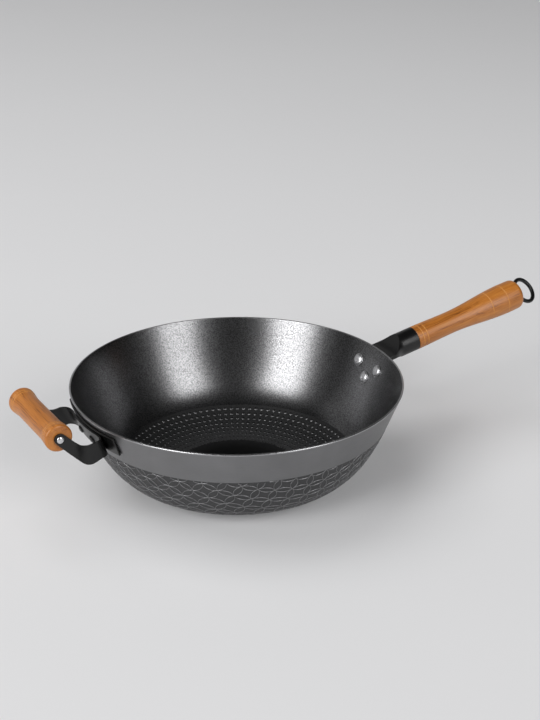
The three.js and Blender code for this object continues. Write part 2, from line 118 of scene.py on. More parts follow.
# Raised circle lines on the lower outside: a square lattice of nodes with a circle through each four
PATTERN_REACH = 150 * MM
PATTERN_CELLS = 7.71
PATTERN_GROWTH = 1.3
PATTERN_TURN = math.radians(-3.4)
PATTERN_SHIFT = (-7.643, -7.442)
LINE_WIDTH = 0.75 * MM
LINE_HEIGHT = 0.4 * MM
LINE_SINK = 0.15 * MM
LINE_CROWN = 0.22
CIRCLE_STEPS = 48

# Raised dots on the floor inside, in rings around the smooth disc
DOT_RING_RADIUS = 111 * MM
DOT_RING_PITCH = 6.5 * MM
DOT_RINGS = 9
DOTS_PER_RING = 108
DOT_SHARE = 0.29
DOT_RISE = 0.27
DOT_SIDES = 8
DOT_LEVELS = [(1.0, -0.15), (0.94, 0.25), (0.62, 0.78)]

# Long handle
JOINT = Vector((205, 0, 98.5)) * MM
HANDLE_TILT = math.radians(11.1)
SOCKET_RADIUS = 12.2 * MM
WALL_GAP = 0.4 * MM
SEAT_GAP = 0.3 * MM
TONGUE_THICKNESS = 4 * MM
TONGUE_BEND_WIDTH = 37 * MM
TONGUE_WALL_WIDTH = 52 * MM
TONGUE_TIP_WIDTH = 30 * MM
TONGUE_TIP_ROUND = 5 * MM
TONGUE_DROP = 43 * MM
TONGUE_BEND_RADIUS = 8 * MM
TONGUE_HALVINGS = 40
ROUND_LENGTH = 19 * MM
FLATTEN_LENGTH = 17 * MM
PRESS_POWER = 2.0
PRESS_CORNER_LIMIT = math.radians(75)
PRESS_SIDE_STEPS = 9
PRESS_FLAT_STEPS = 14
TONGUE_RINGS = 26
BEND_RINGS = 14
PRESS_RINGS = 24
TUBE_RINGS = 6
RIVET_ROW_DROP = 19 * MM
RIVET_TIP_DROP = 32 * MM
RIVET_SPACING = 34 * MM
RIVET_HEAD_RADIUS = 6.25 * MM
RIVET_HEAD_HEIGHT = 2.8 * MM
RIVET_FLANGE = 0.5 * MM
RIVET_DOME_SHARE = 0.93
RIVET_TAIL_RADIUS = 4 * MM
RIVET_TAIL_HEIGHT = 1.8 * MM
RIVET_SHANK_RADIUS = 2.5 * MM

# Wooden long grip, from the joint outward
GRIP_LENGTH = 132.5 * MM
NECK_RADIUS = 11.4 * MM
NECK_PLACE = 44 * MM
BELLY_RADIUS = 15.7 * MM
BELLY_PLACE = 115 * MM
GRIP_END_RADIUS = 15.2 * MM
GRIP_END_ROUND = 6 * MM
GRIP_EDGE = 0.5 * MM
GRIP_ROWS = 60
RECESS_RADIUS = 9 * MM
RECESS_DEPTH = 5 * MM
GROOVE_DEPTH = 0.3 * MM
GROOVE_WIDTH = 1.1 * MM
GROOVE_REACH = 0.7
GROOVE_ROWS = 15
GRIP_GROOVES = [6 * MM, 11 * MM, 92 * MM, 111.5 * MM]

# Tie rod's eye and the hanging ring
ROD_RADIUS = 2.5 * MM
ROD_SINK = 1 * MM
ROD_CHAMFER = 0.4 * MM
ROD_TIP_SHARE = 0.7
EYE_WIRE = 2.4 * MM
EYE_DIAMETER = 10 * MM
EYE_OUT = 0.2 * MM
EYE_ROLL = math.radians(42)
RING_DIAMETER = 30 * MM
RING_WIRE = 4.2 * MM
RING_SWING = math.radians(23)

# Helper handle
PLATE_HALF_ANGLE = math.radians(18.2)
PLATE_TOP_DROP = 4.7 * MM
PLATE_HEIGHT = 20.5 * MM
PLATE_THICKNESS = 2 * MM
PLATE_RINGS = 41
PLATE_ROWS = 9
STRAP_THICKNESS = 2 * MM
STRAP_WIDTH = 19 * MM
STRAP_TOP_DROP = 7 * MM
FOLD_START_ANGLE = math.radians(8)
FOLD_ANGLE = math.radians(14.5)
FOLD_LENGTH = 10 * MM
ARM_TOP_REACH = 176 * MM
ARM_TOP_RISE = 6 * MM
ARM_LOW_REACH = 173.5 * MM
ARM_LOW_DROP = 13.6 * MM
ARM_ROUND = 9 * MM
ARM_INSET = 5 * MM
TAB_WIDTH = 10.5 * MM
TAB_GAP = 0.4 * MM
TAB_TIP_ANGLE = 80
STRAP_ROWS = 5
STRAP_WALL_STEPS = 12
FOLD_STEPS = 20
ARM_STEPS = 48
ARM_ROUND_STEPS = 17
TAB_STEPS = 12
HELPER_RIVET_ANGLE = math.radians(4.5)
HELPER_RIVET_DROP = 19.3 * MM
HELPER_CENTRE = Vector((-200.8, 0, 103.2)) * MM
HELPER_LENGTH = 92 * MM
HELPER_END_RADIUS = 13 * MM
HELPER_WAIST_RADIUS = 11.6 * MM
HELPER_WAIST_LENGTH = 52 * MM
HELPER_END_ROUND = 2.5 * MM
HELPER_GROOVES = [7 * MM, 10 * MM]
BOLT_RADIUS = 2 * MM
BOLT_HEAD_RADIUS = 3.5 * MM
BOLT_HEAD_HEIGHT = 1.8 * MM
CAP_NUT_RADIUS = 4 * MM
CAP_NUT_HEIGHT = 5 * MM
CAP_BASE_SHARE = 0.35
CAP_DOME_SHARE = 0.85


def srgb(red, green, blue):
    """A colour read on the usual 0 to 255 scale, as linear values."""
    def linear(value):
        share = value / 255
        return share / 12.92 if share <= 0.04045 else ((share + 0.055) / 1.055) ** 2.4
    return (linear(red), linear(green), linear(blue), 1)


def grey(value):
    """A grey with a trace of blue."""
    return (value, value, value * 1.02, 1)


def mix(start, end, share):
    return start + (end - start) * share


def ease(share):
    return (1 - math.cos(math.pi * min(max(share, 0), 1))) / 2


# Materials

def new_material(name, colour, metallic, roughness, **sockets):
    """A material with a Principled shader and its constant values."""
    material = bpy.data.materials.new(name)
    material.use_nodes = True
    shader = material.node_tree.nodes["Principled BSDF"]
    shader.inputs["Base Color"].default_value = colour
    shader.inputs["Metallic"].default_value = metallic
    shader.inputs["Roughness"].default_value = roughness
    for socket, value in sockets.items():
        shader.inputs[socket.replace("_", " ").title().replace("Ior", "IOR")].default_value = value
    return material


def new_steel(name, value, roughness):
    return new_material(name, grey(value), metallic=1.0, roughness=roughness)


def add_node(material, kind, inputs=None, **settings):
    """A node with its settings, and its inputs as values or as links from other sockets."""
    tree = material.node_tree
    made = tree.nodes.new(kind)
    for name, value in settings.items():
        setattr(made, name, value)
    for name, value in (inputs or {}).items():
        if isinstance(value, bpy.types.NodeSocket):
            tree.links.new(value, made.inputs[name])
        else:
            made.inputs[name].default_value = value
    return made


def shader_link(material, name, socket):
    material.node_tree.links.new(socket, material.node_tree.nodes["Principled BSDF"].inputs[name])


def object_place(material, scale=(1, 1, 1)):
    """The place on the piece, in its own frame, stretched by a scale."""
    place = add_node(material, "ShaderNodeTexCoord").outputs["Object"]
    return add_node(material, "ShaderNodeMapping", {"Vector": place, "Scale": scale}).outputs["Vector"]


def noise(material, place, scale, detail=2.0, distortion=0.0):
    return add_node(material, "ShaderNodeTexNoise", {
        "Vector": place, "Scale": scale, "Detail": detail, "Distortion": distortion,
    }).outputs["Fac"]


def rings_about_z(material, place, scale, distortion=0.0):
    return add_node(material, "ShaderNodeTexWave", {
        "Vector": place, "Scale": scale, "Distortion": distortion, "Detail": 1.0,
    }, wave_type="RINGS", rings_direction="Z").outputs["Fac"]


def ramp(material, share, stops):
    """Colours along a share, from a list of places and colours."""
    made = add_node(material, "ShaderNodeValToRGB", {"Fac": share})
    elements = made.color_ramp.elements
    while len(elements) < len(stops):
        elements.new(0.5)
    for element, (place, colour) in zip(elements, stops):
        element.position = place
        element.color = colour
    return made.outputs["Color"]


def remap(material, share, low, high, start=0.3, end=0.7):
    return add_node(material, "ShaderNodeMapRange", {
        "Value": share, "From Min": start, "From Max": end, "To Min": low, "To Max": high,
    }).outputs["Result"]


def bump(material, height, strength, distance):
    made = add_node(material, "ShaderNodeBump", {
        "Height": height, "Strength": strength, "Distance": distance,
    })
    shader_link(material, "Normal", made.outputs["Normal"])


def base_greys(material, share, *stops):
    """Greys for the base colour, from (place, grey) stops along a share."""
    colours = [(place, grey(value)) for place, value in stops]
    shader_link(material, "Base Color", ramp(material, share, colours))


def roughen(material, share, low, high, start=0.3, end=0.7):
    shader_link(material, "Roughness", remap(material, share, low, high, start, end))


def inward_share(material, radius):
    """A share that grows from 0 at a distance from the middle of the base to 1 there."""
    place = object_place(material, (1 / radius,) * 3)
    gradient = add_node(material, "ShaderNodeTexGradient", {"Vector": place}, gradient_type="SPHERICAL")
    return gradient.outputs["Fac"]


def inside_steel():
    """Dark, satin, heat-treated steel with a fine sparkling grain."""
    material = new_steel("inside_steel", 0.2, roughness=0.25)
    place = object_place(material)
    grain = noise(material, place, scale=850, detail=2)
    cloud = noise(material, place, scale=14, detail=3)
    base_greys(material, grain, (0.36, 0.1), (0.64, 0.24))
    roughen(material, cloud, 0.27, 0.29)
    bump(material, grain, strength=0.12, distance=0.15 * MM)
    return material


def floor_steel():
    """The rougher steel of the dotted floor, with painted shade dark at its edge and a painted sheen paler
    towards the disc.
    """
    material = new_steel("floor_steel", 0.11, roughness=0.46)
    grain = noise(material, object_place(material), scale=1300, detail=3)
    # Painted shade and sheen: the base colour is darkest at the floor's edge and grows paler towards the
    # disc.
    inward = inward_share(material, FLOOR_EDGE)
    base_greys(material, inward, (0, 0.09), (0.15, 0.2), (0.35, 0.45))
    roughen(material, grain, 0.42, 0.52)
    bump(material, grain, strength=0.2, distance=0.2 * MM)
    return material


def dot_steel():
    """The brighter steel of the floor's dots."""
    material = new_steel("dot_steel", 0.3, roughness=0.4)
    grain = noise(material, object_place(material), scale=1300, detail=3)
    base_greys(material, grain, (0.3, 0.15), (0.72, 0.27))
    roughen(material, grain, 0.34, 0.44)
    return material


def disc_steel():
    """The dark, smooth disc in the middle of the floor, paler at its edge, with fine turned lines."""
    material = new_steel("disc_steel", 0.03, roughness=0.42)
    place = object_place(material)
    inward = inward_share(material, FLOOR_DISC)
    lines = rings_about_z(material, place, scale=160, distortion=0.4)
    base_greys(material, inward, (0, 0.26), (0.25, 0.12), (0.6, 0.06))
    roughen(material, lines, 0.36, 0.46)
    bump(material, lines, strength=0.25, distance=0.2 * MM)
    return material


def band_steel():
    """The plain satin band under the rim, with faint lines around it."""
    material = new_steel("band_steel", 0.17, roughness=0.4)
    place = object_place(material)
    lines = rings_about_z(material, place, scale=420, distortion=2.0)
    cloud = noise(material, place, scale=25, detail=3)
    base_greys(material, cloud, (0.3, 0.215), (0.7, 0.25))
    roughen(material, lines, 0.36, 0.46, 0, 1)
    bump(material, noise(material, place, scale=1800, detail=2), strength=0.08, distance=0.1 * MM)
    return material


def rim_steel():
    """The bare, polished lip."""
    material = new_steel("rim_steel", 0.42, roughness=0.3)
    roughen(material, noise(material, object_place(material), scale=300, detail=3), 0.27, 0.33)
    return material


def ground_steel():
    """The darker, etched steel of the lower outside, with painted shade darkening it towards the base."""
    material = new_steel("ground_steel", 0.08, roughness=0.5)
    place = object_place(material)
    grain = noise(material, place, scale=1100, detail=3)
    cloud = noise(material, place, scale=30, detail=3)
    # Painted shade: the base colour darkens towards the bottom of the bowl, mixed with a fifth of random
    # cloud.
    height = add_node(material, "ShaderNodeSeparateXYZ", {"Vector": place}).outputs["Z"]
    rise = remap(material, height, 0, 1, 0, PAINTED_SHADE_HEIGHT)
    tone = add_node(material, "ShaderNodeMix", {"Factor": 0.2, "A": rise, "B": cloud}).outputs["Result"]
    base_greys(material, tone, (0.25, 0.03), (0.95, 0.1))
    roughen(material, grain, 0.44, 0.58)
    bump(material, grain, strength=0.25, distance=0.2 * MM)
    return material


def line_steel():
    """The raised lines, rubbed brighter than the ground."""
    material = new_steel("line_steel", 0.2, roughness=0.4)
    place = object_place(material)
    wear = noise(material, place, scale=400, detail=4)
    base_greys(material, wear, (0.3, 0.17), (0.7, 0.29))
    roughen(material, noise(material, place, scale=900, detail=2), 0.42, 0.5)
    return material


def black_steel():
    """Satin black paint on steel."""
    material = new_material("black_steel", grey(0.005), metallic=0.0, roughness=0.34, ior=1.45)
    place = object_place(material)
    grain = noise(material, place, scale=1400, detail=3)
    cloud = noise(material, place, scale=40, detail=3)
    base_greys(material, cloud, (0.3, 0.004), (0.7, 0.0065))
    roughen(material, cloud, 0.3, 0.38)
    bump(material, grain, strength=0.1, distance=0.1 * MM)
    return material


def bright_steel():
    """Polished steel of the bolt and the nuts."""
    material = new_steel("bright_steel", 0.72, roughness=0.2)
    scuffs = noise(material, object_place(material), scale=500, detail=4, distortion=0.5)
    base_greys(material, scuffs, (0.3, 0.62), (0.7, 0.78))
    roughen(material, scuffs, 0.22, 0.32)
    return material


def rivet_steel():
    """Brushed bright steel of the rivets' broad heads."""
    material = new_steel("rivet_steel", 0.8, roughness=0.4)
    scuffs = noise(material, object_place(material), scale=700, detail=3)
    base_greys(material, scuffs, (0.3, 0.72), (0.7, 0.86))
    roughen(material, scuffs, 0.36, 0.44)
    return material


def lacquered_wood():
    """Orange-brown wood under a satin lacquer, with its grain along the piece's own Z."""
    material = new_material("lacquered_wood", srgb(167, 99, 34), metallic=0.0, roughness=0.42,
                            coat_weight=0.25, coat_roughness=0.3)
    figure = noise(material, object_place(material, (120, 120, 9)), scale=1, detail=4, distortion=0.8)
    fibre = noise(material, object_place(material, (1400, 1400, 45)), scale=1, detail=2)
    both = add_node(material, "ShaderNodeMix", {"Factor": 0.5, "A": figure, "B": fibre}).outputs["Result"]
    shader_link(material, "Base Color", ramp(material, both, [
        (0.34, srgb(112, 60, 16)),
        (0.43, srgb(168, 101, 34)),
        (0.53, srgb(180, 111, 42)),
        (0.68, srgb(196, 130, 58)),
    ]))
    roughen(material, fibre, 0.38, 0.5)
    bump(material, fibre, strength=0.12, distance=0.1 * MM)
    return material


def groove_wood():
    """The paler wood in the turned grooves."""
    material = new_material("groove_wood", srgb(194, 130, 62), metallic=0.0, roughness=0.5)
    fibre = noise(material, object_place(material, (1400, 1400, 45)), scale=1, detail=2)
    shader_link(material, "Base Color", ramp(material, fibre, [
        (0.3, srgb(180, 116, 50)),
        (0.7, srgb(208, 146, 76)),
    ]))
    return material


# Meshes

def new_object(name, data):
    made = bpy.data.objects.new(name, data)
    bpy.context.scene.collection.objects.link(made)
    return made


def add_piece(name, points, faces, materials, slots=None, crease=CREASE):
    """A smooth-shaded object with outward faces, whose edges sharper than the crease stay crisp."""
    mesh = bpy.data.meshes.new(name)
    mesh.from_pydata([tuple(point) for point in points], [], faces)
    for material in materials:
        mesh.materials.append(material)
    if slots is not None:
        mesh.polygons.foreach_set("material_index", slots)
    work = bmesh.new()
    work.from_mesh(mesh)
    bmesh.ops.recalc_face_normals(work, faces=work.faces)
    work.to_mesh(mesh)
    work.free()
    mesh.shade_smooth()
    mesh.set_sharp_from_angle(angle=math.radians(crease))
    return new_object(name, mesh)


def fit(piece, body, slot, *nodes):
    """Puts a piece on its body and in the place of its nodes, which it hides; its finish, the slot, is not
    used.
    """
    if nodes:
        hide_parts(*nodes)
    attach(piece, body)


def bevel(piece, width=EDGE_BEVEL):
    """Rounds the piece's hard edges."""
    made = piece.modifiers.new("edge_round", "BEVEL")
    made.width = width
    made.segments = BEVEL_SEGMENTS
    made.limit_method = "ANGLE"
    made.angle_limit = BEVEL_ANGLE


def neighbours(row, closed):
    """Pairs of neighbours in a row, with its last and first where it is closed."""
    return list(zip(row, row[1:] + row[:1] if closed else row[1:]))


def full_turn(count, shift=0):
    """Evenly spread angles of one turn, moved by a share of their step."""
    return [2 * math.pi * (i + shift) / count for i in range(count)]


def turned(profile, sides, closed=False):
    """Points and faces of a profile of (radius, height) points turned about Z."""
    points = []
    rows = []
    for radius, height in profile:
        if radius < ON_AXIS:
            rows.append([len(points)])
            points.append((0, 0, height))
            continue
        rows.append(range(len(points), len(points) + sides))
        for angle in full_turn(sides):
            points.append((radius * math.cos(angle), radius * math.sin(angle), height))
    faces = []
    for low, high in neighbours(rows, closed):
        for i in range(sides):
            j = (i + 1) % sides
            ring = [low[i % len(low)], low[j % len(low)], high[j % len(high)], high[i % len(high)]]
            faces.append(list(dict.fromkeys(ring)))
    return points, faces


def add_turned(name, profile, sides, materials, matrix, grooves=(), closed=False):
    """A turned piece about its own Z, with its second material in its grooves."""
    slots = []
    for (_, low), (_, high) in neighbours(profile, closed):
        middle = (low + high) / 2
        slots += [int(any(abs(middle - groove) < GROOVE_WIDTH / 2 for groove in grooves))] * sides
    piece = add_piece(name, *turned(profile, sides, closed), materials, slots)
    piece.matrix_world = matrix
    return piece


def ring_faces(low, high, count):
    """Faces between two rings, from the number of each ring's first point."""
    pairs = [(c, (c + 1) % count) for c in range(count)]
    return [[low + c, low + d, high + d, high + c] for c, d in pairs]


def loft(rings):
    """Points and faces of a skin over rings with the same number of corners, closed at both ends."""
    count = len(rings[0])
    points = [point for ring in rings for point in ring]
    faces = [list(range(count)), list(range(len(points) - count, len(points)))]
    for i in range(len(rings) - 1):
        faces += ring_faces(i * count, (i + 1) * count, count)
    return points, faces


def arc_points(centre, radius, start, end, steps):
    """Points on an arc in a profile, with angles in degrees."""
    angles = np.radians(np.linspace(start, end, steps + 1))
    return [(centre[0] + radius * math.cos(a), centre[1] + radius * math.sin(a)) for a in angles]


def dome_points(radius, height, steps):
    """A quarter of an ellipse, from the edge up to the axis."""
    angles = [math.pi / 2 * i / steps for i in range(steps + 1)]
    return [(radius * math.cos(a) if a < math.pi / 2 else 0, height * math.sin(a)) for a in angles]


def torus(ring_radius, wire_radius, turns, sides):
    """A ring of round wire about Z, as a closed profile turned about Z."""
    profile = arc_points((ring_radius, 0), wire_radius, 0, 360, sides)
    return turned(profile[:-1], turns, closed=True)


# Bowl wall: a curve of radius and height, measured by its reach from the base's centre

WALL_SAMPLES = 600
wall_corners = np.array([
    (BASE_RADIUS, 0),
    (BASE_RADIUS + FLOOR_EASE, 0),
    (RIM_RADIUS - WALL_EASE * math.cos(RIM_WALL_ANGLE), BOWL_HEIGHT - WALL_EASE * math.sin(RIM_WALL_ANGLE)),
    (RIM_RADIUS, BOWL_HEIGHT),
])
wall_share = np.linspace(0, 1, WALL_SAMPLES)[:, None]
wall_rest = 1 - wall_share
wall_weights = [
    wall_rest ** 3,
    3 * wall_rest ** 2 * wall_share,
    3 * wall_rest * wall_share ** 2,
    wall_share ** 3,
]
wall_points = sum(weight * corner for weight, corner in zip(wall_weights, wall_corners))
wall_steps = np.linalg.norm(np.diff(wall_points, axis=0), axis=1)
wall_reach = BASE_RADIUS + np.concatenate([[0], np.cumsum(wall_steps)])
wall_along = np.gradient(wall_points, axis=0)
wall_along /= np.linalg.norm(wall_along, axis=1)[:, None]
RIM_REACH = wall_reach[-1]
BAND_REACH = RIM_REACH - BAND_WIDTH


def wall_frame(reach, offset=0.0):
    """Radius and height at a reach, moved outward by an offset, with the directions up and out."""
    if reach <= BASE_RADIUS:
        place, along = np.array((reach, 0.0)), np.array((1.0, 0.0))
    else:
        place = np.array([np.interp(reach, wall_reach, wall_points[:, k]) for k in (0, 1)])
        along = np.array([np.interp(reach, wall_reach, wall_along[:, k]) for k in (0, 1)])
    out = np.array((along[1], -along[0]))
    return place + out * offset, along, out


def inner_reach(radius):
    """Reach at which the wall's inner face has a radius."""
    return np.interp(radius, wall_points[:, 0] - wall_along[:, 1] * WALL, wall_reach)


def wall_place(reach, angle, offset=0.0):
    """A point on the wall and the outward direction there."""
    (radius, height), _, out = wall_frame(reach, offset)
    place = Vector((radius * math.cos(angle), radius * math.sin(angle), height))
    return place, Vector((out[0] * math.cos(angle), out[0] * math.sin(angle), out[1]))


def wall_matrix(drop, angle):
    """A frame on the wall at a drop below the rim: Z points out of the bowl, square to the wall."""
    place, out = wall_place(RIM_REACH - drop, angle)
    across = Vector((-math.sin(angle), math.cos(angle), 0))
    up = across.cross(out)
    return Matrix.Translation(place) @ Matrix((up, across, out)).transposed().to_4x4()


# Bowl

def bowl_rows():
    """Rows of (radius, height, zone) from the base's middle, over the rim, to the floor's middle."""
    ground, band, lip, inside, floor, disc = range(6)
    rows = []

    def add(reaches, offset, zone):
        for reach in reaches:
            (radius, height), _, _ = wall_frame(reach, offset)
            rows.append((max(radius, 0), height, zone))

    add(np.linspace(0, PATTERN_START - BASE_TO_PATTERN, BASE_ROWS), 0, ground)
    add(np.linspace(PATTERN_START, BAND_REACH - BAND_STEP, GROUND_ROWS), -BAND_STEP, ground)
    add(np.linspace(BAND_REACH, RIM_REACH - BAND_TO_LIP, BAND_ROWS), 0, band)
    place, along, out = wall_frame(RIM_REACH, -WALL / 2)
    for angle in np.linspace(0, math.pi, LIP_ROWS):
        radius, height = place + out * math.cos(angle) * WALL / 2 + along * math.sin(angle) * WALL / 2
        rows.append((radius, height, lip))
    floor_reach = inner_reach(FLOOR_EDGE)
    add(np.linspace(RIM_REACH - LIP_TO_INSIDE, floor_reach, INSIDE_ROWS), -WALL, inside)
    add(np.linspace(floor_reach, FLOOR_DISC, FLOOR_ROWS)[1:], -WALL, floor)
    add(np.linspace(FLOOR_DISC, 0, DISC_ROWS)[1:], -WALL, disc)
    return rows


def add_bowl(materials):
    rows = bowl_rows()
    points, faces = turned([(radius, height) for radius, height, _ in rows], BOWL_SIDES)
    slots = [zone for _, _, zone in rows[1:] for _ in range(BOWL_SIDES)]
    return add_piece("bowl", points, faces, materials, slots)


def lattice_place(x, y):
    """Reach and angle on the wall of a lattice point, both counted in cells from the bowl's axis."""
    cells = math.hypot(x, y)
    reach = PATTERN_REACH * (cells / PATTERN_CELLS) ** (1 / PATTERN_GROWTH)
    return reach, math.atan2(y, x) + PATTERN_TURN


def line_runs():
    """Stretches of the pattern's circles between the base and the band, each as (closed, places)."""
    edge_cells = PATTERN_CELLS * (BAND_REACH / PATTERN_REACH) ** PATTERN_GROWTH
    span = math.ceil(edge_cells) + 2
    circle = math.sqrt(0.5)
    for i in range(-span, span):
        for j in range(-span, span):
            centre = (i + 0.5 + PATTERN_SHIFT[0] % 1, j + 0.5 + PATTERN_SHIFT[1] % 1)
            places = [lattice_place(centre[0] + circle * math.cos(a), centre[1] + circle * math.sin(a))
                      for a in full_turn(CIRCLE_STEPS)]
            inside = [PATTERN_START < reach < BAND_REACH - BAND_STEP for reach, _ in places]
            if all(inside):
                yield True, places
                continue
            first = inside.index(False)
            run = []
            for k in range(first, first + CIRCLE_STEPS + 1):
                if inside[k % CIRCLE_STEPS]:
                    run.append(places[k % CIRCLE_STEPS])
                    continue
                if len(run) > 1:
                    yield False, run
                run = []


def add_pattern_lines(material):
    """Low rounded ridges along the pattern's circles, sunk a little into the wall."""
    crown = [(-LINE_CROWN, LINE_HEIGHT), (LINE_CROWN, LINE_HEIGHT)]
    section = [(-0.5, -LINE_SINK)] + crown + [(0.5, -LINE_SINK)]
    count = len(section)
    points = []
    faces = []
    for closed, run in line_runs():
        start = len(points)
        frames = [wall_place(reach, angle, -BAND_STEP) for reach, angle in run]
        for k, (place, out) in enumerate(frames):
            before = frames[k - 1][0] if closed or k > 0 else place
            after = frames[(k + 1) % len(frames)][0] if closed or k + 1 < len(frames) else place
            across = (after - before).cross(out).normalized()
            points += [place + across * side * LINE_WIDTH + out * rise for side, rise in section]
        for k in range(len(run) if closed else len(run) - 1):
            faces += ring_faces(start + k * count, start + (k + 1) % len(run) * count, count)
        if not closed:
            faces.append([start + c for c in range(count)])
            faces.append([len(points) - count + c for c in range(count)])
    return add_piece("bowl_circle_lines", points, faces, [material], crease=RELIEF_CREASE)


def add_floor_dots(material):
    """Rings of small domes on the floor, in line with the bowl's radii and smaller towards its middle."""
    points = []
    faces = []
    outer_reach = inner_reach(DOT_RING_RADIUS)
    for ring in range(DOT_RINGS):
        reach = outer_reach - ring * DOT_RING_PITCH
        (radius, _), _, _ = wall_frame(reach, -WALL)
        size = DOT_SHARE * 2 * math.pi * radius / DOTS_PER_RING
        for angle in full_turn(DOTS_PER_RING, 0.5):
            place, out = wall_place(reach, angle, -WALL)
            across = Vector((-math.sin(angle), math.cos(angle), 0))
            along = across.cross(out)
            start = len(points)
            for share, rise in DOT_LEVELS:
                for turn in full_turn(DOT_SIDES):
                    side = across * math.cos(turn) + along * math.sin(turn)
                    points.append(place + side * size * share - out * rise * size * DOT_RISE)
            points.append(place - out * size * DOT_RISE)
            faces.append([start + c for c in range(DOT_SIDES)])
            for level in range(len(DOT_LEVELS) - 1):
                low = start + level * DOT_SIDES
                faces += ring_faces(low, low + DOT_SIDES, DOT_SIDES)
            low = start + (len(DOT_LEVELS) - 1) * DOT_SIDES
            for c in range(DOT_SIDES):
                faces.append([low + c, low + (c + 1) % DOT_SIDES, len(points) - 1])
    return add_piece("bowl_floor_dots", points, faces, [material], crease=RELIEF_CREASE)


# Rivets

def rivet_profile(stack):
    """A flanged dome inside the bowl, a shank, and a smaller dome on the outer sheet."""
    under = -WALL - SEAT_GAP
    over = stack + SEAT_GAP
    edge = RIVET_FLANGE / 2
    head = dome_points(RIVET_HEAD_RADIUS * RIVET_DOME_SHARE, RIVET_HEAD_HEIGHT - RIVET_FLANGE, steps=10)
    flange = arc_points((RIVET_HEAD_RADIUS - edge, edge), edge, -90, 90, steps=6)
    tail = dome_points(RIVET_TAIL_RADIUS, RIVET_TAIL_HEIGHT, steps=8)
    return ([(r, under - RIVET_FLANGE - h) for r, h in reversed(head)]
            + [(r, under - h) for r, h in reversed(flange)]
            + [(RIVET_SHANK_RADIUS, under), (RIVET_SHANK_RADIUS, over)]
            + [(r, over + h) for r, h in tail])


def add_rivets(handle_material, helper_material):
    """Three rivets in the long handle's tongue and two in the helper handle's strap."""
    row_radius = wall_frame(RIM_REACH - RIVET_ROW_DROP)[0][0]
    row_angle = math.asin(RIVET_SPACING / 2 / row_radius)
    handle = [(RIVET_ROW_DROP, row_angle), (RIVET_ROW_DROP, -row_angle), (RIVET_TIP_DROP, 0)]
    helper = [(HELPER_RIVET_DROP, math.pi + side * HELPER_RIVET_ANGLE) for side in (1, -1)]
    strap_stack = WALL_GAP + PLATE_THICKNESS + SEAT_GAP + STRAP_THICKNESS
    for prefix, places, stack, metal in (
            ("handle_rivet", handle, WALL_GAP + TONGUE_THICKNESS, handle_material),
            ("helper_rivet", helper, strap_stack, helper_material)):
        profile = rivet_profile(stack)
        for number, (drop, angle) in enumerate(places, 1):
            node = f"{prefix}_{number}"
            rivet = add_turned(f"{node}_dome", profile, FASTENER_SIDES, [metal], wall_matrix(drop, angle))
            fit(rivet, "wok", "bright_steel", node)


# Long handle

HANDLE_AXIS = Vector((math.cos(HANDLE_TILT), 0, math.sin(HANDLE_TILT)))
HANDLE_DOWN = Vector((math.sin(HANDLE_TILT), 0, -math.cos(HANDLE_TILT)))
HANDLE_MATRIX = Matrix.Translation(JOINT) @ Matrix.Rotation(math.pi / 2 - HANDLE_TILT, 4, "Y")


def pressed_ring(centre, out, half_width, limit, bow):
    """A tube's section pressed flat to a limit above and below, with a corner where the press begins."""
    corner = min(math.asin(min(limit / SOCKET_RADIUS, 1)), PRESS_CORNER_LIMIT)
    flat = math.pi - 2 * corner
    half_turn = [corner * (2 * k / PRESS_SIDE_STEPS - 1) for k in range(PRESS_SIDE_STEPS)]
    half_turn += [corner + flat * k / PRESS_FLAT_STEPS for k in range(PRESS_FLAT_STEPS)]
    ring = []
    for angle in half_turn + [angle + math.pi for angle in half_turn]:
        across = half_width * math.cos(angle)
        deep = max(-limit, min(limit, SOCKET_RADIUS * math.sin(angle)))
        point = centre + out * deep
        ring.append(point + Vector((-bow * across * across / 2, across, 0)))
    return ring


def tongue_corner():
    """Drop below the rim at which the tongue's middle line meets the handle's axis, found by halving."""
    low, high = 0.0, TONGUE_DROP
    for _ in range(TONGUE_HALVINGS):
        middle = (low + high) / 2
        (radius, height), _, _ = wall_frame(RIM_REACH - middle, WALL_GAP + TONGUE_THICKNESS / 2)
        above = height - JOINT.z - (radius - JOINT.x) * math.tan(HANDLE_TILT)
        low, high = (middle, high) if above > 0 else (low, middle)
    return low


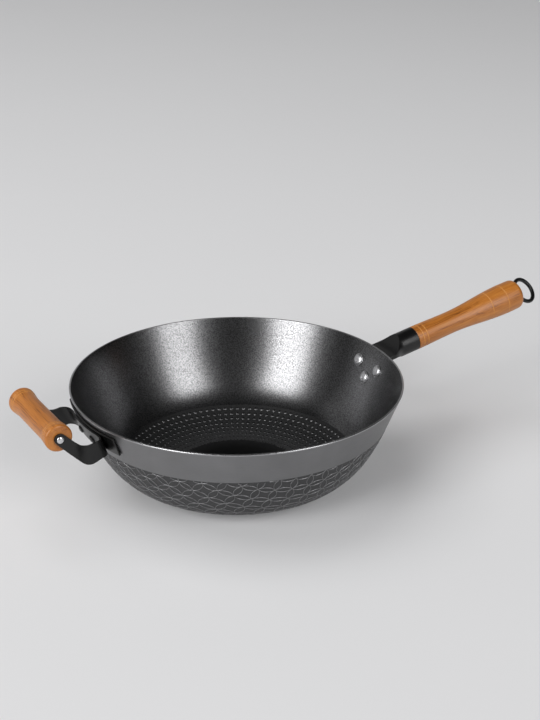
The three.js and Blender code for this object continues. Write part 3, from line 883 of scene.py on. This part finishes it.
def socket_rings():
    """Sections from the tongue's tip, up the wall, round the bend and along the tube to the joint."""
    half = TONGUE_THICKNESS / 2
    corner = tongue_corner()
    _, along, _ = wall_frame(RIM_REACH - corner)
    turn = math.atan2(along[1], along[0]) - HANDLE_TILT
    wall_end = corner + TONGUE_BEND_RADIUS * math.tan(turn / 2)
    rings = []
    for share in np.linspace(0, 1, TONGUE_RINGS):
        drop = mix(TONGUE_DROP, wall_end, share)
        (radius, height), _, out = wall_frame(RIM_REACH - drop, WALL_GAP + half)
        flare = ease((TONGUE_DROP - drop) / (TONGUE_DROP - RIVET_TIP_DROP))
        narrow = ease((RIVET_ROW_DROP - drop) / (RIVET_ROW_DROP - wall_end))
        width = mix(mix(TONGUE_TIP_WIDTH, TONGUE_WALL_WIDTH, flare), TONGUE_BEND_WIDTH, narrow)
        from_tip = min((TONGUE_DROP - drop) / TONGUE_TIP_ROUND, 1)
        width -= 2 * TONGUE_TIP_ROUND * (1 - math.sqrt(1 - (1 - from_tip) ** 2))
        rings.append(pressed_ring(Vector((radius, 0, height)), Vector((out[0], 0, out[1])),
                                  width / 2, half, 1 / radius))
    (radius, height), _, out = wall_frame(RIM_REACH - wall_end, WALL_GAP + half)
    pivot = Vector((radius, 0, height)) + Vector((out[0], 0, out[1])) * TONGUE_BEND_RADIUS
    start, end = math.atan2(-out[1], -out[0]), HANDLE_TILT + math.pi / 2
    for share in np.linspace(0, 1, BEND_RINGS)[1:]:
        angle = mix(start, end, share)
        inward = Vector((math.cos(angle), 0, math.sin(angle)))
        rings.append(pressed_ring(pivot + inward * TONGUE_BEND_RADIUS, -inward, TONGUE_BEND_WIDTH / 2, half,
                                  mix(1 / radius, 0, ease(share))))
    for share in np.linspace(0, 1, PRESS_RINGS):
        centre = JOINT - HANDLE_AXIS * (ROUND_LENGTH + FLATTEN_LENGTH * (1 - share))
        half_width = mix(TONGUE_BEND_WIDTH / 2, SOCKET_RADIUS, ease(share))
        limit = mix(half, SOCKET_RADIUS, share ** PRESS_POWER)
        rings.append(pressed_ring(centre, HANDLE_DOWN, half_width, limit, 0))
    for share in np.linspace(0, 1, TUBE_RINGS)[1:]:
        centre = JOINT - HANDLE_AXIS * ROUND_LENGTH * (1 - share)
        rings.append(pressed_ring(centre, HANDLE_DOWN, SOCKET_RADIUS, SOCKET_RADIUS, 0))
    return rings


def add_socket(material):
    piece = add_piece("handle_socket_tube", *loft(socket_rings()), [material], crease=PRESS_CREASE)
    bevel(piece)
    return piece


def grip_radius(distance):
    if distance < NECK_PLACE:
        return mix(SOCKET_RADIUS, NECK_RADIUS, ease(distance / NECK_PLACE))
    if distance < BELLY_PLACE:
        return mix(NECK_RADIUS, BELLY_RADIUS, ease((distance - NECK_PLACE) / (BELLY_PLACE - NECK_PLACE)))
    return mix(BELLY_RADIUS, GRIP_END_RADIUS, ((distance - BELLY_PLACE) / (GRIP_LENGTH - BELLY_PLACE)) ** 2)


def side_profile(start, end, grooves, radius_at):
    """A turned side as (radius, place) points, with a round-bottomed groove at each groove's place."""
    places = set(np.linspace(start, end, GRIP_ROWS))
    for groove in grooves:
        places |= set(groove + GROOVE_WIDTH * np.linspace(-GROOVE_REACH, GROOVE_REACH, GROOVE_ROWS))
    profile = []
    for place in sorted(places):
        depth = 0.0
        for groove in grooves:
            near = abs(place - groove) / (GROOVE_WIDTH / 2)
            depth = max(depth, GROOVE_DEPTH * (1 - near * near))
        profile.append((radius_at(place) - depth, place))
    return profile


def add_long_grip(materials):
    """The turned grip from the socket's mouth to its rounded end with the eye's recess."""
    straight = GRIP_LENGTH - GRIP_END_ROUND
    round_centre = (grip_radius(straight) - GRIP_END_ROUND, straight)
    profile = [(0, SEAT_GAP), (SOCKET_RADIUS - GRIP_EDGE, SEAT_GAP)]
    profile += side_profile(SEAT_GAP + GRIP_EDGE, straight, GRIP_GROOVES, grip_radius)
    profile += arc_points(round_centre, GRIP_END_ROUND, ROUND_START, ROUND_END, steps=10)
    profile += arc_points((RECESS_RADIUS + GRIP_EDGE, GRIP_LENGTH - GRIP_EDGE), GRIP_EDGE, 90, 180, steps=4)
    profile += [(RECESS_RADIUS, GRIP_LENGTH - RECESS_DEPTH), (0, GRIP_LENGTH - RECESS_DEPTH)]
    return add_turned("long_grip", profile, GRIP_SIDES, materials, HANDLE_MATRIX, GRIP_GROOVES)


def eye_matrix():
    """The eye's frame: Z along the ring's hinge, X along the handle."""
    out = Matrix.Translation((0, 0, GRIP_LENGTH + EYE_OUT))
    return HANDLE_MATRIX @ out @ Matrix.Rotation(-EYE_ROLL, 4, "Z")


def add_eye(material):
    """The rod's end in the recess and the eye on it."""
    eye_radius = (EYE_DIAMETER - EYE_WIRE) / 2
    start = -RECESS_DEPTH - EYE_OUT - ROD_SINK
    stem = [(0, start), (ROD_RADIUS, start), (ROD_RADIUS, -eye_radius - ROD_CHAMFER),
            (ROD_RADIUS * ROD_TIP_SHARE, -eye_radius), (0, -eye_radius)]
    points, faces = turned(stem, FASTENER_SIDES)
    turn = Matrix.Rotation(math.pi / 2, 3, "Y")
    loop_points, loop_faces = torus(eye_radius, EYE_WIRE / 2, turns=48, sides=16)
    shift = len(points)
    points += [turn @ Vector(point) for point in loop_points]
    faces += [[shift + corner for corner in face] for face in loop_faces]
    piece = add_piece("tie_rod_eye", points, faces, [material])
    piece.matrix_world = eye_matrix()
    return piece


def add_ring(material):
    """The wire ring through the eye, swung to one side."""
    radius = (RING_DIAMETER - RING_WIRE) / 2
    points, faces = torus(radius, RING_WIRE / 2, turns=96, sides=20)
    swing = Matrix.Rotation(-RING_SWING, 3, "X")
    turn = swing @ Matrix.Rotation(math.pi / 2, 3, "X")
    lift = swing @ Vector((0, 0, radius))
    places = [turn @ Vector(point) + lift for point in points]
    piece = add_piece("hanging_ring_wire", places, faces, [material])
    piece.matrix_world = eye_matrix()
    return piece


# Helper handle

def add_plate(material):
    """The curved plate on the wall."""
    rings = []
    for share in np.linspace(-1, 1, PLATE_RINGS):
        angle = math.pi + PLATE_HALF_ANGLE * share
        drops = np.linspace(PLATE_TOP_DROP, PLATE_TOP_DROP + PLATE_HEIGHT, PLATE_ROWS)
        outer = [wall_place(RIM_REACH - drop, angle, WALL_GAP + PLATE_THICKNESS)[0] for drop in drops]
        inner = [wall_place(RIM_REACH - drop, angle, WALL_GAP)[0] for drop in drops]
        rings.append(outer + inner[::-1])
    piece = add_piece("helper_wall_plate", *loft(rings), [material])
    bevel(piece)
    return piece


def arm_edge(start, corner, end, steps):
    """Evenly spread points on one edge of an arm: two straight stretches with a rounded corner."""
    before = corner + (start - corner).normalized() * ARM_ROUND
    after = corner + (end - corner).normalized() * ARM_ROUND
    points = [start]
    for t in np.linspace(0, 1, ARM_ROUND_STEPS):
        points.append(before * (1 - t) ** 2 + corner * 2 * t * (1 - t) + after * t ** 2)
    places = np.array(points + [end])
    lengths = np.concatenate([[0], np.cumsum(np.linalg.norm(np.diff(places, axis=0), axis=1))])
    spread = np.linspace(0, lengths[-1], steps + 1)
    return [Vector([np.interp(length, lengths, places[:, k]) for k in range(3)]) for length in spread]


TAB_PLACE = HELPER_LENGTH / 2 + TAB_GAP + STRAP_THICKNESS / 2


def strap_stations():
    """One half of the strap as (centre, up, width), from the bowl's middle plane out to the tab's tip."""
    drop = STRAP_TOP_DROP + STRAP_WIDTH / 2
    lift = WALL_GAP + PLATE_THICKNESS + SEAT_GAP + STRAP_THICKNESS / 2
    (radius, height), along, _ = wall_frame(RIM_REACH - drop, lift)

    def on_wall(angle):
        return Vector((radius * math.cos(angle), radius * math.sin(angle), height))

    def upward(angle):
        return Vector((along[0] * math.cos(angle), along[0] * math.sin(angle), along[1]))

    fold_angle = math.pi + FOLD_ANGLE
    fold = on_wall(fold_angle)
    arm_place = TAB_PLACE - ARM_INSET
    top_corner = Vector((-ARM_TOP_REACH, -arm_place, height + ARM_TOP_RISE))
    low_corner = Vector((-ARM_LOW_REACH, -arm_place, height - ARM_LOW_DROP))
    corner = (top_corner + low_corner) / 2
    tab = Vector((HELPER_CENTRE.x, -arm_place, HELPER_CENTRE.z))
    stations = []
    for share in np.linspace(0, 1, STRAP_WALL_STEPS):
        angle = math.pi + FOLD_START_ANGLE * share
        stations.append((on_wall(angle), upward(angle), STRAP_WIDTH))
    begin = stations[-1][0]
    level = Vector((corner.x, corner.y, height))
    finish = fold + (level - fold).normalized() * FOLD_LENGTH
    fold_up = upward(fold_angle)
    for t in np.linspace(0, 1, FOLD_STEPS)[1:]:
        centre = begin * (1 - t) ** 2 + fold * 2 * t * (1 - t) + finish * t ** 2
        stations.append((centre, fold_up, STRAP_WIDTH))
    tab_up = Vector((1, 0, 1)).normalized()
    strap_half = fold_up * STRAP_WIDTH / 2
    tab_half = tab_up * TAB_WIDTH / 2
    top = arm_edge(finish + strap_half, top_corner, tab + tab_half, ARM_STEPS)
    low = arm_edge(finish - strap_half, low_corner, tab - tab_half, ARM_STEPS)
    arm = []
    for high, deep in zip(top[1:], low[1:]):
        arm.append(((high + deep) / 2, (high - deep).normalized(), (high - deep).length))
    rise = Vector((-1, 0, 1)).normalized()
    for angle in np.radians(np.linspace(0, TAB_TIP_ANGLE, TAB_STEPS))[1:]:
        centre = tab + rise * math.sin(angle) * TAB_WIDTH / 2
        arm.append((centre, tab_up, TAB_WIDTH * math.cos(angle)))
    clear = HELPER_END_RADIUS + TAB_GAP
    for centre, _, _ in arm:
        share = ((centre - tab).length - clear) / ((corner - tab).length - clear)
        centre.y -= ARM_INSET * (1 - ease(share))
    return stations + arm


def add_strap(material):
    """The bent strip: two arms in one, mirrored about the bowl's middle plane."""
    near = strap_stations()
    flip = Vector((1, -1, 1))
    far = [(centre * flip, up * flip, width) for centre, up, width in near[1:]]
    stations = far[::-1] + near
    rings = []
    for i, (centre, up, width) in enumerate(stations):
        before = stations[max(i - 1, 0)][0]
        after = stations[min(i + 1, len(stations) - 1)][0]
        normal = (after - before).cross(up).normalized() * STRAP_THICKNESS / 2
        high = [centre + up * width * level for level in np.linspace(0.5, -0.5, STRAP_ROWS)]
        rings.append([point + normal for point in high] + [point - normal for point in high[::-1]])
    piece = add_piece("helper_strap_arms", *loft(rings), [material])
    bevel(piece)
    return piece


HELPER_MATRIX = Matrix.Translation(HELPER_CENTRE) @ Matrix.Rotation(-math.pi / 2, 4, "X")


def helper_radius(place):
    past = abs(place) - HELPER_WAIST_LENGTH / 2
    flare = (HELPER_LENGTH - HELPER_WAIST_LENGTH) / 2
    return mix(HELPER_WAIST_RADIUS, HELPER_END_RADIUS, ease(past / flare))


def add_helper_grip(materials):
    """The turned barrel between the strap's tabs."""
    half = HELPER_LENGTH / 2
    straight = half - HELPER_END_ROUND
    grooves = [side * (half - inset) for inset in HELPER_GROOVES for side in (-1, 1)]
    round_centre = (helper_radius(straight) - HELPER_END_ROUND, straight)
    high = arc_points(round_centre, HELPER_END_ROUND, ROUND_START, ROUND_END, steps=8)
    low = [(radius, -place) for radius, place in reversed(high)]
    bore = BOLT_RADIUS + SEAT_GAP
    profile = (low + side_profile(-straight, straight, grooves, helper_radius) + high
               + [(bore, half), (bore, -half)])
    return add_turned("helper_barrel_grip", profile, GRIP_SIDES, materials, HELPER_MATRIX, grooves,
                      closed=True)


def add_helper_fasteners(material):
    """The bolt's dome head on the near tab and the cap nut on the far one."""
    clamp = TAB_PLACE + STRAP_THICKNESS / 2 + SEAT_GAP
    head = dome_points(BOLT_HEAD_RADIUS, BOLT_HEAD_HEIGHT, steps=12)
    bolt = ([(r, -clamp - h) for r, h in reversed(head)]
            + [(BOLT_RADIUS, -clamp), (BOLT_RADIUS, clamp), (0, clamp)])
    base = CAP_NUT_HEIGHT * CAP_BASE_SHARE
    cap = dome_points(CAP_NUT_RADIUS * CAP_DOME_SHARE, CAP_NUT_HEIGHT - base, steps=12)
    nut = ([(0, clamp), (CAP_NUT_RADIUS, clamp), (CAP_NUT_RADIUS, clamp + base)]
           + [(r, clamp + base + h) for r, h in cap])
    for name, node, profile in (("helper_bolt_dome", "helper_bolt", bolt),
                                ("helper_nut_dome", "helper_cap_nut", nut)):
        piece = add_turned(name, profile, FASTENER_SIDES, [material], HELPER_MATRIX)
        fit(piece, "wok", "bright_steel", node)


# Stage

def camera_axes():
    """The camera's right, down and forward directions in the object's frame."""
    turn = Matrix.Rotation(-CAMERA_AZIMUTH, 3, "Z")
    forward = Vector((0, math.cos(CAMERA_ELEVATION), -math.sin(CAMERA_ELEVATION)))
    right = Vector((1, 0, 0))
    down = forward.cross(right)
    rolled_right = right * math.cos(CAMERA_ROLL) + down * math.sin(CAMERA_ROLL)
    rolled_down = down * math.cos(CAMERA_ROLL) - right * math.sin(CAMERA_ROLL)
    return turn @ rolled_right, turn @ rolled_down, turn @ forward


def add_camera():
    right, down, forward = camera_axes()
    ray = (right * (RIM_CENTRE_PIXEL[0] - PHOTO_WIDTH / 2) / FOCAL_PIXELS
           + down * (RIM_CENTRE_PIXEL[1] - PHOTO_HEIGHT / 2) / FOCAL_PIXELS + forward).normalized()
    eye = Vector((0, 0, BOWL_HEIGHT)) - ray * CAMERA_DISTANCE
    data = bpy.data.cameras.new("camera")
    data.sensor_width = SENSOR
    data.lens = FOCAL_PIXELS * SENSOR / PHOTO_HEIGHT
    camera = new_object("camera", data)
    camera.matrix_world = Matrix.Translation(eye) @ Matrix((right, -down, -forward)).transposed().to_4x4()
    bpy.context.scene.camera = camera


def add_floor():
    """A wide, plain, pale floor, which the camera and the metal see partly by its own painted glow, graded
    along the view.
    """
    corners = [(-1, -1, 0), (1, -1, 0), (1, 1, 0), (-1, 1, 0)]
    points = [Vector(corner) * FLOOR_HALF for corner in corners]
    material = new_material("floor", srgb(231, 231, 232), metallic=0.0, roughness=0.9)
    place = object_place(material)
    cloud = noise(material, place, scale=3, detail=2)
    shader_link(material, "Base Color", ramp(material, cloud, [
        (0, srgb(230, 230, 231)),
        (1, srgb(232, 232, 233)),
    ]))
    _, _, forward = camera_axes()
    turn = math.atan2(forward.y, forward.x)
    span = FLOOR_BACK - FLOOR_FRONT
    along = add_node(material, "ShaderNodeMapping", {
        "Vector": place, "Location": (-FLOOR_FRONT / span, 0, 0), "Rotation": (0, 0, -turn),
        "Scale": (1 / span, 1 / span, 1),
    }).outputs["Vector"]
    share = add_node(material, "ShaderNodeTexGradient", {"Vector": along}).outputs["Fac"]
    stops = [((reach - FLOOR_FRONT) / span, grey(value)) for reach, value in FLOOR_TONES]
    tone = ramp(material, share, stops)
    # Painted glow: the floor's own graded tone, shown to camera and glossy rays.
    own = add_node(material, "ShaderNodeEmission", {"Color": tone}).outputs["Emission"]
    path = add_node(material, "ShaderNodeLightPath").outputs
    seen = add_node(material, "ShaderNodeMath", {
        0: path["Is Camera Ray"], 1: path["Is Glossy Ray"]}, operation="ADD").outputs[0]
    middle = Vector((forward.x, forward.y, 0)).normalized() * FLOOR_MIDDLE
    away = add_node(material, "ShaderNodeVectorMath", {0: place, 1: middle}, operation="DISTANCE")
    evenness = remap(material, away.outputs["Value"], FLOOR_OWN, 1, *FLOOR_FADE)
    amount = add_node(material, "ShaderNodeMath", {0: seen, 1: evenness}, operation="MULTIPLY").outputs[0]
    tree = material.node_tree
    lit = tree.nodes["Principled BSDF"].outputs["BSDF"]
    both = add_node(material, "ShaderNodeMixShader", {"Fac": amount, 1: lit, 2: own})
    tree.links.new(both.outputs["Shader"], tree.nodes["Material Output"].inputs["Surface"])
    add_piece("floor", points, [[0, 1, 2, 3]], [material])


def add_softbox(name, turn, elevation, width, height, radiance):
    """A far lamp panel, turned from the camera's side and facing the bowl, with its size in degrees."""
    _, _, forward = camera_axes()
    angle = math.atan2(-forward.y, -forward.x) + math.radians(turn)
    rise = math.radians(elevation)
    away = Vector((math.cos(angle) * math.cos(rise), math.sin(angle) * math.cos(rise), math.sin(rise)))
    data = bpy.data.lights.new(name, "AREA")
    data.shape = "RECTANGLE"
    data.size = 2 * PANEL_DISTANCE * math.tan(math.radians(width / 2))
    data.size_y = 2 * PANEL_DISTANCE * math.tan(math.radians(height / 2))
    data.energy = radiance * math.pi * data.size * data.size_y
    lamp = new_object(name, data)
    lamp.matrix_world = (Matrix.Translation(Vector((0, 0, BOWL_HEIGHT / 2)) + away * PANEL_DISTANCE)
                         @ away.to_track_quat("Z", "Y").to_matrix().to_4x4())
    return lamp


def add_light():
    """The soft panels, some of which show in no reflection, and a nearly dark world."""
    for name, panel in PANELS.items():
        lamp = add_softbox(name, *panel)
        lamp.visible_glossy = name not in PANELS_WITHOUT_GLOSS
    world = bpy.data.worlds.new("studio")
    world.use_nodes = True
    world.node_tree.nodes["Background"].inputs["Color"].default_value = grey(WORLD_GREY)
    bpy.context.scene.world = world


# The object

def build():
    black = black_steel()
    bright = bright_steel()
    wood = lacquered_wood()
    pale = groove_wood()
    zones = [ground_steel(), band_steel(), rim_steel(), inside_steel(), floor_steel(), disc_steel()]
    fit(add_bowl(zones), "wok", "bowl_steel", "wok_bowl")
    fit(add_pattern_lines(line_steel()), "wok", "bowl_steel")
    fit(add_floor_dots(dot_steel()), "wok", "bowl_steel")
    add_rivets(rivet_steel(), black)
    fit(add_socket(black), "wok", "black_steel", "handle_socket")
    fit(add_long_grip([wood, pale]), "wok", "wood", "handle_grip")
    fit(add_eye(black), "wok", "black_steel", "tie_rod")
    fit(add_ring(black), "ring", "black_steel", "hanging_ring")
    fit(add_plate(black), "wok", "black_steel", "helper_plate")
    fit(add_strap(black), "wok", "black_steel", "helper_strap")
    fit(add_helper_grip([wood, pale]), "helper_roller", "wood", "helper_grip")
    add_helper_fasteners(bright)
    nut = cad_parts["tie_nut"]
    nut.data.materials.clear()
    nut.data.materials.append(bright)


add_camera()
add_floor()
add_light()
build()
bpy.context.scene.view_settings.view_transform = "Standard"
